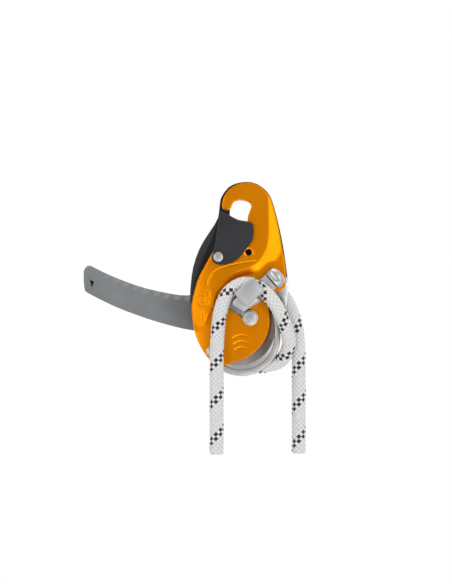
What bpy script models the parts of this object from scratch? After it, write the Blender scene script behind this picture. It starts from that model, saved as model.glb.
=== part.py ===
"""Rope grab: a self-braking descender that hangs by its top eye and pinches an 11 mm rope.

Frame: X right, Y back (the front face looks along -Y), Z up, metres.
Origin: where an anchor connector bears on the top of the attachment eye, mid-plane of the rope.
"""
import math

import bmesh
import bpy
from mathutils import Matrix, Vector

MM = 0.001

# ---------------------------------------------------------------- driving dimensions, in mm
ROPE_D = 11.0            # rope the device is made for
GROOVE_W = 12.4          # width of the cam's groove
FLANGE_T = 2.0           # each flange of the cam
RUN_GAP = 0.4            # running clearance beside the cam and between sliding plates
REST_GAP = 0.3           # gap between pieces that touch
BORE_GAP = 0.1           # radial gap of a pin in a bush or a plate
PLATE_T = 3.0            # both side plates
RELIEF_H = 3.4           # how far the pressed field of the moving plate stands out
CAM_R = 30.7             # flange radius of the cam
DISH = 1.4               # depth of the dish in the cam's front flange
DISH_FLOOR_R = 17.0      # its flat floor, inside a sloping wall
HUB_R = 13.5             # bottom of the cam's groove
AXLE_D = 8.0             # shank of the cam axle
AXLE_HEAD_D = 12.4
BUSH_T = 1.4             # wall of the cam bush
PIVOT_D = 6.0            # shank of the side plate's pivot
PIVOT_HEAD_D = 8.0
COVER_D = 9.0            # depth of the rear cover
HANDLE_T = 12.0          # thickness of the handle
HANDLE_REACH = 126.0     # from the handle's axis to its far end
HANDLE_HUB = 30.0        # what is nearer to the axis than this keeps its length
HUB_BORE_D = 10.0        # shaft of the handle
GATE_T = 5.0             # thickness of the safety gate
GATE_PIN_D = 7.6         # head of the gate's rivet
GATE_SHANK_D = 4.2       # and its shank
STOP_HOLE_D = 5.2        # hole beside the gate
BRACKET_W = 13.4         # width of the friction bracket's bar
BRACKET_H = 7.0          # height of that bar above the plate
CAP_L = 20.0             # the bracket's cap, along and across
CAP_W = 14.2
CAP_SHIFT = 4.6          # how far the cap's middle is beside the bar's
CAP_T = 4.2
HEAD_D = 16.4            # domed head at the end of the bracket
INSERT_W = 11.0          # friction insert beside the cam
INSERT_R = 27.5          # its inner face, from the middle of the cam's flanges
INSERT_ARC = (124.0, 160.0)      # and the arc that it covers, in degrees
RIVET_D = 4.0            # rivet that holds the bracket on the plate
CATCH_T = 2.2            # anti-error catch
SMALL_PIN_D = 3.0        # the catch's pin and the insert's screws
SCREW_D = 4.0            # shank of the cover's screws, and their sunk heads
SCREW_HEAD_D = 7.4
SCREW_HEAD_T = 2.2
POST_D = 8.0             # spacer posts between the plates
NUT_R = 7.2              # corner of the axle's nut from its middle
HEAD_SQUASH = 0.62       # depth of the bracket's head over its height
SWING_DEG = 34.0         # how far the slot lets the moving plate swing

# ---------------------------------------------------------------- places in the front view (X, Z), mm
AXLE = (6.4, -92.2)
PIVOT = (-24.2, -118.5)
DRUM = (-0.4, -107.4)            # centre of the cam's round flanges, eccentric to the axle
GROOVE = (4.0, -107.5)           # centre of the groove's round bottom
HANDLE_AXIS = (0.2, -67.4)
GATE_AXIS = (-18.7, -44.4)
STOP_HOLE = (5.1, -40.6)
BRACKET = (8.7, -75.3)           # middle of the bracket's bar, under the cap
CATCH_AXIS = (31.2, -61.5)
COVER_SCREWS = ((-28.5, -61.0), (24.0, -40.0), (-24.0, -106.0))
POSTS = ((27.2, -44.0), (-9.5, -27.5))
BRACKET_TURN = math.radians(40)

# ---------------------------------------------------------------- depths (Y), front to back
CAM_HALF = GROOVE_W / 2 + FLANGE_T
INNER = CAM_HALF + RUN_GAP                     # inner faces of both side plates
FRONT_FIELD = -(INNER + PLATE_T)               # lower field of the moving plate
FRONT_RELIEF = FRONT_FIELD - RELIEF_H          # its pressed field
BACK_FACE = INNER + PLATE_T                    # back of the fixed plate
COVER_FRONT = BACK_FACE + REST_GAP
COVER_BACK = COVER_FRONT + COVER_D
HANDLE_FRONT = COVER_BACK + RUN_GAP
HANDLE_BACK = HANDLE_FRONT + HANDLE_T
BAR_TOP = FRONT_FIELD - REST_GAP - BRACKET_H   # front of the bracket's bar
CAP_BACK = BAR_TOP - ROPE_D - 2 * REST_GAP     # underside of the bracket's cap

# ---------------------------------------------------------------- outlines in the front view
# Each stretch is a smooth curve through its points; stretches meet at corners.
PLATE_OUTLINE = [
    [(-15.3, -6.3), (-15.7, -3.9), (-14.9, 1.2), (-12.6, 5.9), (-8.6, 10.2), (-3.9, 12.8), (1.2, 14.2),
     (6.3, 14.3), (11.8, 12.6), (16.5, 9.4), (21.2, 4.3), (24.4, -4.3), (27.5, -16.4), (29.9, -27.9),
     (31.7, -38.0), (33.8, -48.3), (34.6, -58.6), (34.2, -68.2)],
    [(34.2, -68.2), (25.9, -72.7), (18.9, -77.8)],
    [(18.9, -77.8), (21.2, -86.9), (21.4, -98.2), (18.5, -108.1), (12.6, -116.5), (3.5, -123.6),
     (-6.9, -126.9), (-13.4, -129.5), (-22.0, -128.1), (-28.5, -121.6), (-34.7, -110.8), (-37.6, -101.8),
     (-39.2, -91.5), (-39.7, -82.1), (-36.5, -67.8), (-33.2, -58.9), (-28.3, -49.9), (-23.8, -41.8),
     (-18.0, -31.0), (-12.5, -21.0), (-9.0, -18.0)],
    [(-9.0, -18.0), (-3.5, -20.0), (2.0, -19.6), (4.2, -16.9), (4.7, -11.9), (7.3, -4.7), (5.1, -1.2),
     (0.8, 0.2), (-3.9, 0.0), (-7.1, -2.0), (-8.4, -5.5), (-10.2, -7.3), (-13.0, -7.6), (-15.3, -6.3)],
]
RELIEF_OUTLINE = [
    [(-14.3, -5.9), (-14.7, -3.9), (-13.9, 0.9), (-11.8, 5.2), (-8.1, 9.2), (-3.6, 11.8), (1.3, 13.2),
     (6.1, 13.3), (11.3, 11.7), (15.8, 8.6), (20.3, 3.8), (23.4, -4.6), (26.5, -16.6), (28.9, -28.1),
     (30.7, -38.2), (32.8, -48.5), (33.6, -58.6), (33.4, -66.6)],
    [(33.4, -66.6), (32.8, -54.0), (26.6, -47.0), (18.5, -49.8), (13.0, -54.8), (7.9, -57.1), (0.8, -58.6),
     (-8.6, -62.4), (-14.9, -67.0), (-19.7, -72.5), (-22.0, -79.8), (-23.2, -90.0), (-23.8, -97.2)],
    [(-23.8, -97.2), (-31.0, -99.4), (-36.2, -102.9)],
    [(-36.2, -102.9), (-38.2, -91.5), (-38.7, -82.1), (-35.6, -68.2), (-32.3, -59.4), (-27.4, -50.4),
     (-22.9, -42.3), (-17.0, -31.4), (-11.8, -22.0), (-9.0, -19.2)],
    [(-9.0, -19.2), (-3.5, -21.0), (2.8, -20.4), (5.2, -16.9), (5.7, -11.9), (8.2, -4.4), (5.6, 0.0),
     (0.8, 1.2), (-4.3, 0.8), (-7.9, -1.6), (-9.2, -5.0), (-11.0, -6.4), (-12.8, -6.6), (-14.3, -5.9)],
]
FIXED_OUTLINE = [
    [(-17.6, -3.0), (-17.0, 1.0), (-15.0, 5.5), (-10.6, 10.9), (-5.1, 13.9), (0.8, 15.1), (6.3, 15.2),
     (12.2, 13.5), (17.2, 10.1), (22.0, 4.8), (25.3, -4.1), (28.5, -16.2), (31.2, -28.4), (33.8, -43.0),
     (35.8, -58.0), (36.7, -69.0)],
    [(36.7, -69.0), (33.0, -74.0), (31.0, -84.0), (30.5, -98.0), (26.0, -112.0), (15.0, -124.5),
     (-6.9, -130.2), (-20.8, -127.4), (-27.9, -121.5), (-35.2, -104.9), (-38.9, -91.9), (-40.0, -80.0),
     (-38.2, -66.7), (-34.4, -54.5), (-29.0, -41.0), (-23.6, -29.4), (-20.4, -19.4), (-18.4, -10.4),
     (-17.6, -3.0)],
]
COVER_OUTLINE = [
    [(-18.6, -12.5), (-22.2, -19.2), (-27.7, -27.4), (-33.8, -38.0), (-38.7, -52.3), (-40.6, -66.7),
     (-41.0, -78.2), (-39.0, -92.6), (-34.6, -106.6), (-27.8, -117.8), (-19.2, -125.0), (-6.0, -127.6),
     (9.0, -123.0), (20.0, -112.0), (27.0, -98.0), (31.0, -84.0), (33.6, -72.0), (34.2, -58.0),
     (32.0, -44.0), (28.0, -32.0), (20.0, -25.0), (8.0, -22.0), (-6.0, -20.0), (-14.0, -12.0),
     (-18.6, -12.5)],
]
EYE_OUTLINE = [
    [(4.6, -18.5), (8.0, -14.0), (8.8, -7.0), (6.4, -1.6), (0.8, 0.5), (-4.4, 0.2), (-8.0, -2.8),
     (-9.6, -8.0), (-9.0, -14.0), (-5.5, -18.5), (-0.5, -20.0), (4.6, -18.5)],
]
GATE_OUTLINE = [
    [(-16.7, -8.6), (-9.6, -11.9), (-3.1, -15.2), (4.1, -16.4)],
    [(4.1, -16.4), (7.6, -17.8), (9.0, -20.8), (8.6, -30.1), (4.7, -36.5), (-1.7, -44.4), (-8.3, -49.0),
     (-16.7, -50.7), (-22.2, -48.8), (-23.9, -44.4), (-21.3, -34.7), (-18.7, -17.7), (-16.7, -8.6)],
]
HANDLE_OUTLINE = [
    [(-121.5, -51.6), (-118.5, -51.0), (-107.7, -56.6), (-92.0, -63.3), (-74.7, -69.2), (-55.8, -73.3),
     (-44.0, -74.6), (-32.0, -72.4), (-20.0, -64.0), (-12.0, -56.0)],
    [(-12.0, -56.0), (0.2, -51.4), (11.6, -56.2), (16.2, -67.4), (12.0, -79.4), (2.0, -86.5)],
    [(2.0, -86.5), (-14.0, -98.0), (-28.0, -102.4), (-40.0, -102.2), (-52.2, -99.6), (-67.2, -95.4),
     (-82.2, -90.3), (-97.5, -84.3), (-112.4, -77.1), (-121.2, -72.2)],
    [(-121.2, -72.2), (-122.9, -70.4), (-123.8, -62.0), (-123.7, -55.0), (-121.5, -51.6)],
]
TIP_POCKET = [(-118.9, -62.0), (-115.6, -63.8), (-117.6, -68.4)]
CATCH_OUTLINE = [
    [(26.8, -60.4), (31.2, -57.2), (35.6, -61.0), (36.2, -70.0), (34.9, -84.4)],
    [(34.9, -84.4), (33.2, -84.0), (30.0, -76.0), (26.3, -71.6), (26.2, -65.0), (26.8, -60.4)],
]

# ---------------------------------------------------------------- the rope's route (X, Y, Z), mm
# From the load's end, in between the plates, round the cam, out below, up in front of the plate,
# over the friction bracket and down to the hand's end.
ROPE_ROUTE = [
    (44.8, 0.0, -199.3), (44.8, 0.0, -172.0), (44.8, 0.1, -145.0), (44.7, 0.2, -122.0), (43.6, 0.2, -104.0),
    (40.9, 0.1, -92.5), (36.6, 0.0, -81.3), (30.6, 0.0, -73.2), (22.5, 0.0, -70.6), (12.5, 0.0, -72.2),
    (3.0, 0.0, -76.6), (-5.8, 0.0, -82.8), (-13.0, 0.0, -92.0), (-16.5, 0.0, -103.0), (-16.0, 0.0, -113.5),
    (-10.6, 0.0, -123.0), (-1.5, 0.0, -129.2), (9.0, 0.0, -130.9), (19.2, -0.2, -129.9), (28.8, -1.2, -127.0),
    (34.5, -5.6, -120.8), (36.9, -10.4, -111.5), (34.9, -15.6, -101.4), (30.8, -20.6, -90.4),
    (25.0, -24.0, -80.2), (17.0, -24.8, -71.4), (8.8, -24.8, -66.7), (0.5, -24.8, -65.6),
    (-7.5, -24.3, -69.5), (-13.4, -23.2, -76.6), (-16.9, -22.0, -87.0), (-18.9, -21.3, -101.0),
    (-19.8, -21.2, -120.0), (-20.0, -21.2, -145.0), (-20.0, -21.2, -172.0), (-20.0, -21.2, -199.3)]
ENTRY_SPAN = 6           # the span of the route where the rope goes in between the plates
EXIT_SPAN = 17           # and the one where it comes out below the cam


# ---------------------------------------------------------------- helpers
def clear_scene():
    for obj in list(bpy.data.objects):
        bpy.data.objects.remove(obj, do_unlink=True)


def material(name, color, roughness, metallic=0.0):
    mat = bpy.data.materials.new(name)
    mat.use_nodes = True
    shader = mat.node_tree.nodes["Principled BSDF"]
    shader.inputs["Base Color"].default_value = (*color, 1.0)
    shader.inputs["Roughness"].default_value = roughness
    shader.inputs["Metallic"].default_value = metallic
    return mat


def catmull(p0, p1, p2, p3, t):
    """A point of the smooth curve between p1 and p2."""
    return 0.5 * (2 * p1 + (p2 - p0) * t + (2 * p0 - 5 * p1 + 4 * p2 - p3) * t * t
                  + (3 * p1 - p0 - 3 * p2 + p3) * t ** 3)


def smooth(points, steps):
    """An open smooth curve through the points, with steps pieces between each pair."""
    pts = [Vector(p) for p in points]
    pts = [2 * pts[0] - pts[1], *pts, 2 * pts[-1] - pts[-2]]
    line = []
    for i in range(1, len(pts) - 2):
        line += [catmull(*pts[i - 1:i + 3], k / steps) for k in range(steps)]
    return line + [pts[-2]]


def outline(stretches, steps=2):
    """A closed outline: smooth stretches that meet at corners."""
    line = []
    for stretch in stretches:
        line += smooth(stretch, steps)[:-1] if len(stretch) > 2 else [Vector(stretch[0])]
    return line


def circle(center, radius, count=24):
    turn = 2 * math.pi / count
    return [Vector((center[0] + radius * math.cos(i * turn), center[1] + radius * math.sin(i * turn)))
            for i in range(count)]


def new_object(name, mesh, mat=None, origin=(0, 0, 0)):
    """Link a mesh, made in millimetres at its place, with its origin moved to origin."""
    mesh.transform(Matrix.Translation(-Vector(origin)))
    mesh.transform(Matrix.Scale(MM, 4))
    obj = bpy.data.objects.new(name, mesh)
    obj.location = Vector(origin) * MM
    bpy.context.scene.collection.objects.link(obj)
    if mat:
        mesh.materials.append(mat)
    return obj


def finish_mesh(bm, name, angle=35):
    bmesh.ops.recalc_face_normals(bm, faces=bm.faces)
    mesh = bpy.data.meshes.new(name)
    bm.to_mesh(mesh)
    bm.free()
    mesh.shade_smooth()
    mesh.set_sharp_from_angle(angle=math.radians(angle))
    return mesh


def prism_mesh(name, line, front, back, chamfer=0.0):
    """A flat piece: an outline in the front view, from the depth front to the depth back."""
    bm = bmesh.new()
    base = [bm.verts.new((p.x, back, p.y)) for p in line]
    face = bm.faces.new(base)
    made = bmesh.ops.extrude_face_region(bm, geom=[face])["geom"]
    top = [v for v in made if isinstance(v, bmesh.types.BMVert)]
    bmesh.ops.translate(bm, verts=top, vec=(0, front - back, 0))
    if chamfer:
        rim = [e for e in bm.edges if abs(e.verts[0].co.y - front) < 1e-6
               and abs(e.verts[1].co.y - front) < 1e-6]
        bmesh.ops.bevel(bm, geom=rim, offset=chamfer, segments=1, affect="EDGES")
    return finish_mesh(bm, name)


def prism(name, line, front, back, mat=None, origin=(0, 0, 0), chamfer=0.0):
    return new_object(name, prism_mesh(name, line, front, back, chamfer), mat, origin)


def turned(name, profile, center, mat=None, origin=None, steps=24, sweep=(0.0, 360.0)):
    """Turn a (radius, depth) profile about a line along Y through center, all round or part of it."""
    full = abs(sweep[1] - sweep[0]) >= 360
    bm = bmesh.new()
    count = steps if full else steps + 1
    rings = []
    for i in range(count):
        a = math.radians(sweep[0] + (sweep[1] - sweep[0]) * i / steps)
        rings.append([bm.verts.new((center[0] + r * math.cos(a), y, center[1] + r * math.sin(a)))
                      for r, y in profile])
    for i in range(steps):
        near, far = rings[i], rings[(i + 1) % count]
        for k in range(len(profile)):
            j = (k + 1) % len(profile)
            bm.faces.new((near[k], near[j], far[j], far[k]))
    if not full:
        bm.faces.new(rings[0])
        bm.faces.new(rings[-1][::-1])
    bmesh.ops.remove_doubles(bm, verts=bm.verts, dist=1e-4)
    place = origin if origin is not None else (center[0], 0, center[1])
    return new_object(name, finish_mesh(bm, name), mat, place)


def shaft_profile(*steps_of_shaft):
    """A solid turned profile from (radius, from depth, to depth) steps, front to back."""
    line = [(0.0, steps_of_shaft[0][1])]
    for radius, start, end in steps_of_shaft:
        line += [(radius, start), (radius, end)]
    return line + [(0.0, steps_of_shaft[-1][2])]


def ring_profile(inner, outer, front, back):
    return [(inner, front), (outer, front), (outer, back), (inner, back)]


def cutter(obj):
    obj.hide_render = True
    obj.display_type = "WIRE"
    return obj


def cut(obj, tool, operation="DIFFERENCE"):
    mod = obj.modifiers.new(tool.name, "BOOLEAN")
    mod.operation = operation
    mod.solver = "EXACT"
    mod.object = tool
    return obj


def drill(obj, center, radius, name, front=-60, back=60, count=24):
    cut(obj, cutter(prism(name, circle(center, radius, count), front, back)))


def join(obj, tool):
    cutter(tool)
    return cut(obj, tool, "UNION")


def tube(name, line, diameter, mat):
    """A stretch of rope: a poly curve along a line of points, with filled caps."""
    curve = bpy.data.curves.new(name, "CURVE")
    curve.dimensions = "3D"
    curve.bevel_depth = diameter / 2 * MM
    curve.bevel_resolution = 3
    curve.use_fill_caps = True
    spline = curve.splines.new("POLY")
    spline.points.add(len(line) - 1)
    for point, place in zip(spline.points, line):
        point.co = (*(place * MM), 1.0)
    obj = bpy.data.objects.new(name, curve)
    bpy.context.scene.collection.objects.link(obj)
    curve.materials.append(mat)
    return obj


def coil(name, center, radius, wire, front, back, turns, mat, origin):
    """A torsion spring's coils: a round wire wound about a line along Y through center."""
    bm = bmesh.new()
    sides, per_turn = 6, 12
    total = int(turns * per_turn)
    rings = []
    for i in range(total + 1):
        a = 2 * math.pi * i / per_turn
        y = front + (back - front) * i / total
        mid = Vector((center[0] + radius * math.cos(a), y, center[1] + radius * math.sin(a)))
        out = Vector((math.cos(a), 0, math.sin(a)))
        rings.append([bm.verts.new(mid + wire * (math.cos(s) * out + math.sin(s) * Vector((0, 1, 0))))
                      for s in (2 * math.pi * k / sides for k in range(sides))])
    for near, far in zip(rings, rings[1:]):
        for k in range(sides):
            j = (k + 1) % sides
            bm.faces.new((near[k], near[j], far[j], far[k]))
    bm.faces.new(rings[0])
    bm.faces.new(rings[-1][::-1])
    return new_object(name, finish_mesh(bm, name), mat, origin)


def in_bracket(u, v):
    """From the friction bracket's own directions, along and across its bar, to the front view."""
    c, s = math.cos(BRACKET_TURN), math.sin(BRACKET_TURN)
    return Vector((BRACKET[0] + u * c - v * s, BRACKET[1] + u * s + v * c))


# ---------------------------------------------------------------- the fixed frame
def build_frame(mats):
    fixed = prism("fixed_side_plate", outline(FIXED_OUTLINE), INNER, BACK_FACE, mats["black"])
    cut(fixed, cutter(prism("eye_cut", outline(EYE_OUTLINE), -60, 60)))
    drill(fixed, AXLE, AXLE_D / 2 + BORE_GAP, "axle_cut")
    drill(fixed, PIVOT, PIVOT_D / 2 + BORE_GAP, "pivot_cut")
    drill(fixed, HANDLE_AXIS, HUB_BORE_D / 2 + BORE_GAP, "handle_cut")

    cover = prism("rear_cover", outline(COVER_OUTLINE), COVER_BACK, COVER_FRONT, mats["grey"], chamfer=2.0)
    drill(cover, HANDLE_AXIS, HUB_BORE_D / 2 + BORE_GAP + 0.2, "cover_shaft_cut")
    drill(cover, AXLE, NUT_R + 1.0, "cover_nut_cut")
    drill(cover, PIVOT, PIVOT_HEAD_D / 2 + 0.6, "cover_pivot_cut")

    for i, place in enumerate(COVER_SCREWS):
        drill(fixed, place, SCREW_D / 2 + BORE_GAP, f"plate_screw_cut_{i}", count=12)
        drill(cover, place, SCREW_D / 2 + BORE_GAP, f"cover_screw_cut_{i}", count=12)
        seat = COVER_BACK - SCREW_HEAD_T - 0.2
        drill(cover, place, SCREW_HEAD_D / 2 + REST_GAP, f"cover_seat_cut_{i}", front=seat - REST_GAP,
              count=16)
        turned(f"cover_screw_{i + 1}",
               shaft_profile((SCREW_D / 2, INNER + 0.3, seat), (SCREW_HEAD_D / 2, seat, COVER_BACK - 0.2)),
               place, mats["steel"], steps=16)

    turned("cam_axle",
           shaft_profile((AXLE_HEAD_D / 2 - 1.0, FRONT_FIELD - 3.2, FRONT_FIELD - 2.4),
                         (AXLE_HEAD_D / 2, FRONT_FIELD - 2.4, FRONT_FIELD - REST_GAP),
                         (AXLE_D / 2, FRONT_FIELD - REST_GAP, COVER_BACK - 0.6)),
           AXLE, mats["steel"], steps=32)
    nut = prism("cam_axle_nut", circle(AXLE, NUT_R, 6), BACK_FACE + REST_GAP, BACK_FACE + 6.8,
                mats["steel"])
    drill(nut, AXLE, AXLE_D / 2 + BORE_GAP, "nut_cut")

    turned("side_plate_pivot",
           shaft_profile((PIVOT_HEAD_D / 2 - 1.2, FRONT_FIELD - 3.0, FRONT_FIELD - 2.2),
                         (PIVOT_HEAD_D / 2, FRONT_FIELD - 2.2, FRONT_FIELD - REST_GAP),
                         (PIVOT_D / 2, FRONT_FIELD - REST_GAP, BACK_FACE + REST_GAP),
                         (PIVOT_HEAD_D / 2, BACK_FACE + REST_GAP, BACK_FACE + 2.6)),
           PIVOT, mats["steel"])
    turned("pivot_spacer", ring_profile(PIVOT_D / 2 + BORE_GAP, PIVOT_D / 2 + 1.0, -INNER + REST_GAP,
                                        INNER - REST_GAP), PIVOT, mats["steel"], steps=16)

    for i, place in enumerate(POSTS):
        drill(fixed, place, POST_D / 4 + BORE_GAP, f"post_cut_{i}", count=12)
        turned(f"spacer_post_{i + 1}",
               shaft_profile((POST_D / 2, -INNER + REST_GAP, INNER - REST_GAP),
                             (POST_D / 4, INNER - REST_GAP, BACK_FACE)),
               place, mats["steel"], steps=16)

    # Friction insert: an arc over the upper left of the cam, with a foot on the fixed plate.
    half = INSERT_W / 2
    foot = CAM_R + 3.0
    turned("friction_insert",
           [(INSERT_R, -half), (foot + 5.0, -half), (foot + 5.0, INNER - REST_GAP),
            (foot, INNER - REST_GAP), (foot, half), (INSERT_R, half)],
           DRUM, mats["steel"], steps=10, sweep=INSERT_ARC)
    for i, angle in enumerate((INSERT_ARC[0] + 6.0, INSERT_ARC[1] - 6.0)):
        radius = foot + 2.5
        place = (DRUM[0] + radius * math.cos(math.radians(angle)),
                 DRUM[1] + radius * math.sin(math.radians(angle)))
        hole = SMALL_PIN_D / 2 + BORE_GAP
        drill(bpy.data.objects["friction_insert"], place, hole, f"insert_screw_cut_{i}", count=12)
        drill(fixed, place, hole, f"insert_plate_cut_{i}", count=12)
        turned(f"insert_screw_{i + 1}", shaft_profile((SMALL_PIN_D / 2, -half + 1.0, BACK_FACE - 0.2)),
               place, mats["steel"], steps=12)


# ---------------------------------------------------------------- the cam
def build_cam(mats):
    half = GROOVE_W / 2
    origin = (AXLE[0], 0, AXLE[1])
    bore = AXLE_D / 2 + BORE_GAP + BUSH_T + BORE_GAP
    dish = -CAM_HALF + DISH
    profile = [(0.0, dish), (DISH_FLOOR_R, dish), (CAM_R - 5.0, dish - DISH / 2), (CAM_R - 4.4, -CAM_HALF),
               (CAM_R - 0.5, -CAM_HALF), (CAM_R, -CAM_HALF + 0.5), (CAM_R, -half), (0.0, -half)]
    cam = turned("cam", profile, DRUM, mats["steel"], origin=origin, steps=48)
    join(cam, turned("rear_flange_join", shaft_profile((CAM_R, half, CAM_HALF)), DRUM, steps=48))
    join(cam, turned("groove_join", shaft_profile((HUB_R, -half - 0.6, half + 0.6)), GROOVE, steps=32))
    boss = shaft_profile((bore + 2.4, -CAM_HALF + DISH - 0.3, CAM_HALF - 0.4))
    join(cam, turned("cam_boss_join", boss, AXLE))
    # The flanges are notched round the side plate's pivot, with room for the cam to rock.
    drill(cam, PIVOT, PIVOT_D / 2 + 1.0 + 6.5, "pivot_notch_cut")
    drill(cam, AXLE, bore, "cam_bore_cut")
    bush = ring_profile(AXLE_D / 2 + BORE_GAP, bore - BORE_GAP, -CAM_HALF + DISH + 0.2, CAM_HALF - 0.2)
    turned("cam_bush", bush, AXLE, mats["bronze"], origin=origin)


# ---------------------------------------------------------------- the moving side plate and what it carries
def build_side_plate(mats):
    origin = (PIVOT[0], 0, PIVOT[1])
    plate = prism("moving_side_plate", outline(PLATE_OUTLINE), FRONT_FIELD, -INNER, mats["orange"], origin)
    join(plate, prism("relief_join", outline(RELIEF_OUTLINE), FRONT_RELIEF, FRONT_FIELD + 0.4))
    drill(plate, PIVOT, PIVOT_D / 2 + BORE_GAP, "side_pivot_cut")
    drill(plate, STOP_HOLE, STOP_HOLE_D / 2, "stop_cut", count=16)
    drill(plate, GATE_AXIS, GATE_SHANK_D / 2 + BORE_GAP, "gate_pin_cut", count=16)
    # The slot that lets the axle through as the plate swings, an arc about the pivot.
    reach = math.dist(AXLE, PIVOT)
    start = math.degrees(math.atan2(AXLE[1] - PIVOT[1], AXLE[0] - PIVOT[0]))
    half = AXLE_D / 2 + 0.8
    cut(plate, cutter(turned("slot_cut", ring_profile(reach - half, reach + half, -60, 60), PIVOT,
                             steps=12, sweep=(start, start + SWING_DEG))))
    drill(plate, AXLE, half, "slot_end_cut")
    far = math.radians(start + SWING_DEG)
    slot_end = (PIVOT[0] + reach * math.cos(far), PIVOT[1] + reach * math.sin(far))
    drill(plate, slot_end, half + 1.6, "slot_far_cut")

    gate_origin = (GATE_AXIS[0], 0, GATE_AXIS[1])
    front = FRONT_RELIEF - REST_GAP - GATE_T
    gate = prism("safety_gate", outline(GATE_OUTLINE), front, FRONT_RELIEF - REST_GAP, mats["plastic"],
                 gate_origin, chamfer=0.8)
    drill(gate, GATE_AXIS, GATE_SHANK_D / 2 + BORE_GAP, "gate_bore_cut", count=16)
    turned("gate_rivet",
           shaft_profile((GATE_PIN_D / 2 - 0.5, front - 1.6, front - 1.2),
                         (GATE_PIN_D / 2, front - 1.2, front - REST_GAP),
                         (GATE_SHANK_D / 2, front - REST_GAP, -INNER - 0.2)),
           GATE_AXIS, mats["steel"], origin=origin)
    cut(gate, cutter(turned("gate_spring_room", ring_profile(2.6, 5.2, FRONT_RELIEF - REST_GAP - 3.0, 0),
                            GATE_AXIS, origin=gate_origin)))
    seat = FRONT_RELIEF - REST_GAP
    coil("gate_spring", GATE_AXIS, 3.9, 0.45, seat - 2.3, seat - 0.6, 1.5, mats["steel"], gate_origin)

    # Friction bracket: a bar on the plate, a post inside the rope's bend, and a cap over the rope.
    back = FRONT_FIELD - REST_GAP
    half_w = BRACKET_W / 2
    bar = [in_bracket(*p) for p in ((-3.0, -half_w), (19.0, -half_w), (19.0, half_w), (-3.0, half_w))]
    bracket = prism("friction_bracket", bar, BAR_TOP, back, mats["steel"], origin, chamfer=1.0)
    post = [in_bracket(*p) for p in ((-13.4, -4.6), (1.5, -6.2), (1.7, -2.2), (0.0, 1.2), (-4.6, 5.2),
                                     (-10.0, 7.6), (-14.5, 7.2), (-16.6, 5.2))]
    join(bracket, prism("post_join", post, CAP_BACK - 1.5, BAR_TOP + 2.0, chamfer=1.0))
    along, low, high = CAP_L / 2, CAP_SHIFT - CAP_W / 2, CAP_SHIFT + CAP_W / 2
    cap = [in_bracket(*p) for p in ((-along, low), (along, low), (along, high), (-along, high))]
    join(bracket, prism("cap_join", cap, CAP_BACK - CAP_T, CAP_BACK, chamfer=1.2))
    build_bracket_head(mats, origin)
    place = in_bracket(12.0, 0.0)
    drill(bracket, place, RIVET_D / 2 + BORE_GAP, "bracket_rivet_cut", count=16)
    drill(plate, place, RIVET_D / 2 + BORE_GAP, "bracket_plate_cut", count=16)
    turned("bracket_rivet", shaft_profile((RIVET_D / 2, BAR_TOP + 0.5, -INNER - 0.3)), place,
           mats["steel"], origin=origin, steps=16)


def build_bracket_head(mats, origin):
    """The bracket's domed head: a turned button whose axis lies along the bar."""
    middle = (BAR_TOP + FRONT_FIELD - REST_GAP) / 2 - 1.4
    line = [(0.0, 19.3), (HEAD_D / 2, 19.3), (HEAD_D / 2, 24.6), (HEAD_D / 2 - 1.6, 27.0),
            (HEAD_D / 2 - 4.2, 28.4), (0.0, 28.8)]
    bm = bmesh.new()
    steps = 24
    rings = []
    for i in range(steps):
        a = 2 * math.pi * i / steps
        ring = []
        for radius, along in line:
            place = in_bracket(along, radius * math.cos(a))
            ring.append(bm.verts.new((place.x, middle + radius * math.sin(a) * HEAD_SQUASH, place.y)))
        rings.append(ring)
    for i in range(steps):
        near, far = rings[i], rings[(i + 1) % steps]
        for k in range(len(line) - 1):
            bm.faces.new((near[k], near[k + 1], far[k + 1], far[k]))
    bmesh.ops.remove_doubles(bm, verts=bm.verts, dist=1e-4)
    new_object("bracket_head", finish_mesh(bm, "bracket_head"), mats["steel"], origin)


# ---------------------------------------------------------------- the handle
def stretch_arm(points):
    """Stretch what lies beyond the handle's hub, so that its end is HANDLE_REACH from the axis."""
    drawn_reach = HANDLE_AXIS[0] - min(x for stretch in HANDLE_OUTLINE for x, _ in stretch)
    grow = (HANDLE_REACH - HANDLE_HUB) / (drawn_reach - HANDLE_HUB)
    start = HANDLE_AXIS[0] - HANDLE_HUB
    return [(start + (x - start) * grow if x < start else x, z) for x, z in points]


def build_handle(mats):
    origin = (HANDLE_AXIS[0], 0, HANDLE_AXIS[1])
    line = outline([stretch_arm(stretch) for stretch in HANDLE_OUTLINE])
    lever = prism("handle_lever", line, HANDLE_BACK, HANDLE_FRONT, mats["handle"], origin, chamfer=2.0)
    drill(lever, HANDLE_AXIS, HUB_BORE_D / 2 + BORE_GAP, "lever_bore_cut")
    pocket = [Vector(p) for p in stretch_arm(TIP_POCKET)]
    cut(lever, cutter(prism("tip_pocket", pocket, -60, HANDLE_BACK - 4.0)))
    cut(lever, cutter(turned("hub_screw_room", ring_profile(0.0, 9.4, HANDLE_BACK - 3.2, 60), HANDLE_AXIS)))
    turned("handle_shaft",
           shaft_profile((HUB_BORE_D / 2, INNER + 0.3, HANDLE_BACK - 4.0)), HANDLE_AXIS, mats["steel"],
           origin=origin)
    turned("handle_washer",
           ring_profile(2.6, 8.8, HANDLE_BACK - 3.2 + REST_GAP, HANDLE_BACK - 1.6), HANDLE_AXIS,
           mats["steel"], origin=origin)
    turned("handle_screw",
           shaft_profile((2.5, HANDLE_BACK - 3.6, HANDLE_BACK - 1.3),
                         (5.0, HANDLE_BACK - 1.3, HANDLE_BACK + 1.8)),
           HANDLE_AXIS, mats["steel"], origin=origin)


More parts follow.
